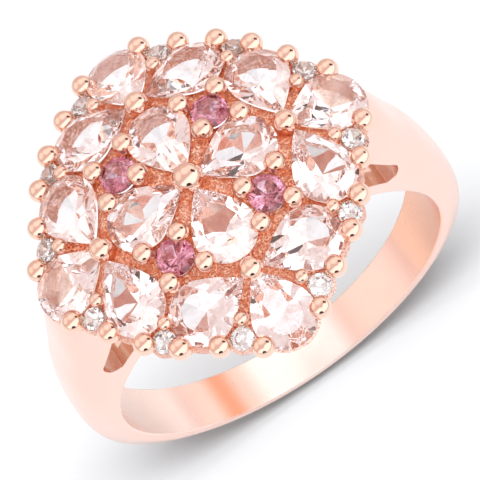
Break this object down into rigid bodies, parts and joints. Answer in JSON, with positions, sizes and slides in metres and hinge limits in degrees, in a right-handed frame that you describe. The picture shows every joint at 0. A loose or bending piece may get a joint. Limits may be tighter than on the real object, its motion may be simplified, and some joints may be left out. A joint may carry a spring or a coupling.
{
  "type": "cocktail ring",
  "caption": "Finger ring with a tapered domed band, open shoulder windows and a domed, rounded-square head of pear-cut and small round stones held by ball prongs.",
  "frame": {"origin": "middle of the finger hole, on its axis and half-way through the band", "axes": "+Y along the finger, +X across the shoulders, +Z from the finger up through the head"},
  "size_m": [0.0206, 0.0172, 0.0243],
  "materials": {
    "rose_gold": "high polish rose gold",
    "morganite": "faceted, polished, pale peach pink",
    "pink_tourmaline": "faceted, polished, pink",
    "white_stone": "faceted, polished, colourless"
  },
  "bodies": {
    "root": {"shank": "rose_gold", "seat_plate": "rose_gold", "rim_prongs": "rose_gold", "white_stone_prongs": "rose_gold", "inner_prongs": "rose_gold", "centre_prong": "rose_gold", "corner_morganite_1": "morganite", "corner_morganite_2": "morganite", "corner_morganite_3": "morganite", "corner_morganite_4": "morganite", "side_morganite_1": "morganite", "side_morganite_2": "morganite", "side_morganite_3": "morganite", "side_morganite_4": "morganite", "side_morganite_5": "morganite", "side_morganite_6": "morganite", "side_morganite_7": "morganite", "side_morganite_8": "morganite", "inner_morganite_1": "morganite", "inner_morganite_2": "morganite", "inner_morganite_3": "morganite", "inner_morganite_4": "morganite", "pink_tourmaline_1": "pink_tourmaline", "pink_tourmaline_2": "pink_tourmaline", "pink_tourmaline_3": "pink_tourmaline", "pink_tourmaline_4": "pink_tourmaline", "white_accent_1": "white_stone", "white_accent_2": "white_stone", "white_accent_3": "white_stone", "white_accent_4": "white_stone", "white_accent_5": "white_stone", "white_accent_6": "white_stone", "white_accent_7": "white_stone", "white_accent_8": "white_stone", "white_accent_9": "white_stone", "white_accent_10": "white_stone", "white_accent_11": "white_stone", "white_accent_12": "white_stone"}
  },
  "joints": []
}
